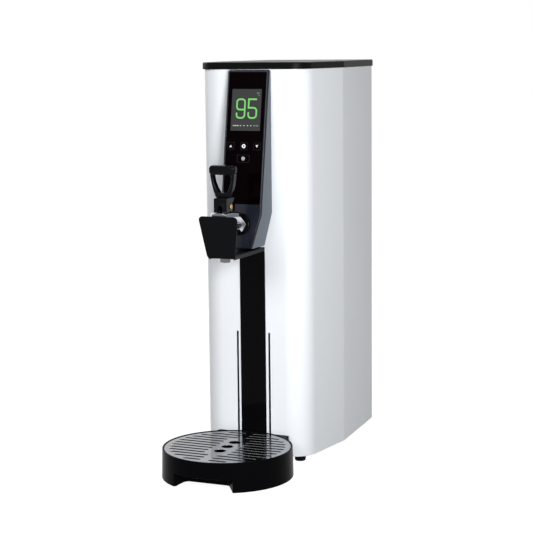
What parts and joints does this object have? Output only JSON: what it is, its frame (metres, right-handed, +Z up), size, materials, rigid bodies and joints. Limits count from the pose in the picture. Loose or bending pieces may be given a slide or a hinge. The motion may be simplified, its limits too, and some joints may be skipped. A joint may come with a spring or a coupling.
{
  "type": "hot water dispenser",
  "caption": "Countertop hot water dispenser with a loop-handled tap, a splash guard and a sliding drip tray.",
  "frame": {"origin": "on the floor, under the middle of the bounding box", "axes": "+Z up, -Y towards the user, +X to the user's right"},
  "size_m": [0.204, 0.4983, 0.6],
  "materials": {
    "body_white": "satin powder coat",
    "lid_black": "fine texture",
    "housing_grey": "satin",
    "panel_black": "gloss",
    "bezel_black": "satin",
    "display_grey": "gloss",
    "tap_chrome": "polished",
    "tap_black": "satin",
    "brass": "satin",
    "guard_black": "satin",
    "tray_black": "satin",
    "grille_steel": "brushed",
    "carrier_black": "satin",
    "rubber": "matte",
    "silicone": "matte",
    "screw_steel": "zinc plated",
    "tank_steel": "drawn",
    "plain_steel": "galvanised",
    "jacket_foam": "felt",
    "board_green": "solder mask",
    "valve_white": "satin",
    "coil_black": "satin"
  },
  "bodies": {
    "body": {"body_shell": "body_white", "base_pan": "plain_steel", "feet": "rubber", "foot_screws": "screw_steel", "top_lid": "lid_black", "lid_screws": "screw_steel", "rear_panel": "body_white", "rear_screws": "screw_steel", "control_housing": "housing_grey", "housing_screws": "screw_steel", "panel_bezel": "bezel_black", "display_overlay": "panel_black", "display_module": "display_grey", "control_board": "board_green", "board_screws": "screw_steel", "tact_switches": "coil_black", "front_strip": "panel_black", "tap_body": "tap_chrome", "tap_washer": "tap_black", "tap_locknut": "brass", "tap_bonnet": "tap_chrome", "stem_spring": "screw_steel", "hot_guard": "guard_black", "guard_screws": "screw_steel", "carrier_rails": "plain_steel", "tank_shell": "tank_steel", "tank_gasket": "silicone", "tank_lid": "tank_steel", "tank_screws": "screw_steel", "tank_jacket": "jacket_foam", "tank_stand": "plain_steel", "stand_screws": "screw_steel", "heating_element": "tank_steel", "level_probes": "tank_steel", "temp_probe": "tank_steel", "thermal_cutout": "coil_black", "outlet_pipe": "silicone", "vent_pipe": "silicone", "inlet_valve": "valve_white", "valve_coil": "coil_black", "inlet_pipe": "silicone", "drain_pipe": "silicone", "drain_cap": "coil_black", "cable_gland": "coil_black", "power_board": "board_green", "terminal_block": "valve_white"},
    "handle": {"tap_handle": "tap_black", "handle_pin": "brass"},
    "stem": {"tap_stem": "brass", "seat_cup": "silicone"},
    "carrier": {"tray_carrier": "carrier_black"},
    "tray": {"tray_bowl": "tray_black"},
    "grille": {"tray_grille": "grille_steel"},
    "key_up": {"key_up": "panel_black"},
    "key_set": {"key_set": "panel_black"},
    "key_down": {"key_down": "panel_black"},
    "key_power": {"key_power": "panel_black"}
  },
  "joints": [
    {"name": "handle_pull", "type": "hinge", "parent": "stem", "child": "handle", "pos_m": [0, -0.15154, 0.3964], "axis": [1, 0, 0], "range_deg": [0, 25], "stiffness_Nm_per_rad": 0.5, "springref_deg": -20.05},
    {"name": "stem_lift", "type": "slide", "parent": "body", "child": "stem", "axis": [0, 0, 1], "range_m": [0, 0.0048], "deforming": ["stem_spring"]},
    {"name": "key_up_press", "type": "slide", "parent": "body", "child": "key_up", "axis": [0, 0.9867, -0.1628], "range_m": [0, 0.0004], "stiffness_N_per_m": 1500, "springref_m": -0.0006},
    {"name": "key_set_press", "type": "slide", "parent": "body", "child": "key_set", "axis": [0, 0.9867, -0.1628], "range_m": [0, 0.0004], "stiffness_N_per_m": 1500, "springref_m": -0.0006},
    {"name": "key_down_press", "type": "slide", "parent": "body", "child": "key_down", "axis": [0, 0.9867, -0.1628], "range_m": [0, 0.0004], "stiffness_N_per_m": 1500, "springref_m": -0.0006},
    {"name": "key_power_press", "type": "slide", "parent": "body", "child": "key_power", "axis": [0, 0.9867, -0.1628], "range_m": [0, 0.0004], "stiffness_N_per_m": 1500, "springref_m": -0.0006},
    {"name": "tray_height", "type": "slide", "parent": "body", "child": "carrier", "axis": [0, 0, 1], "range_m": [0, 0.12]},
    {"name": "tray_pull", "type": "slide", "parent": "carrier", "child": "tray", "axis": [0, -1, 0], "range_m": [0, 0.1]},
    {"name": "grille_lift", "type": "slide", "parent": "tray", "child": "grille", "axis": [0, 0, 1], "range_m": [0, 0.06]}
  ],
  "couplings": [
    {"joint": "stem_lift", "follows": "handle_pull", "m_per_rad": 0.011}
  ]
}
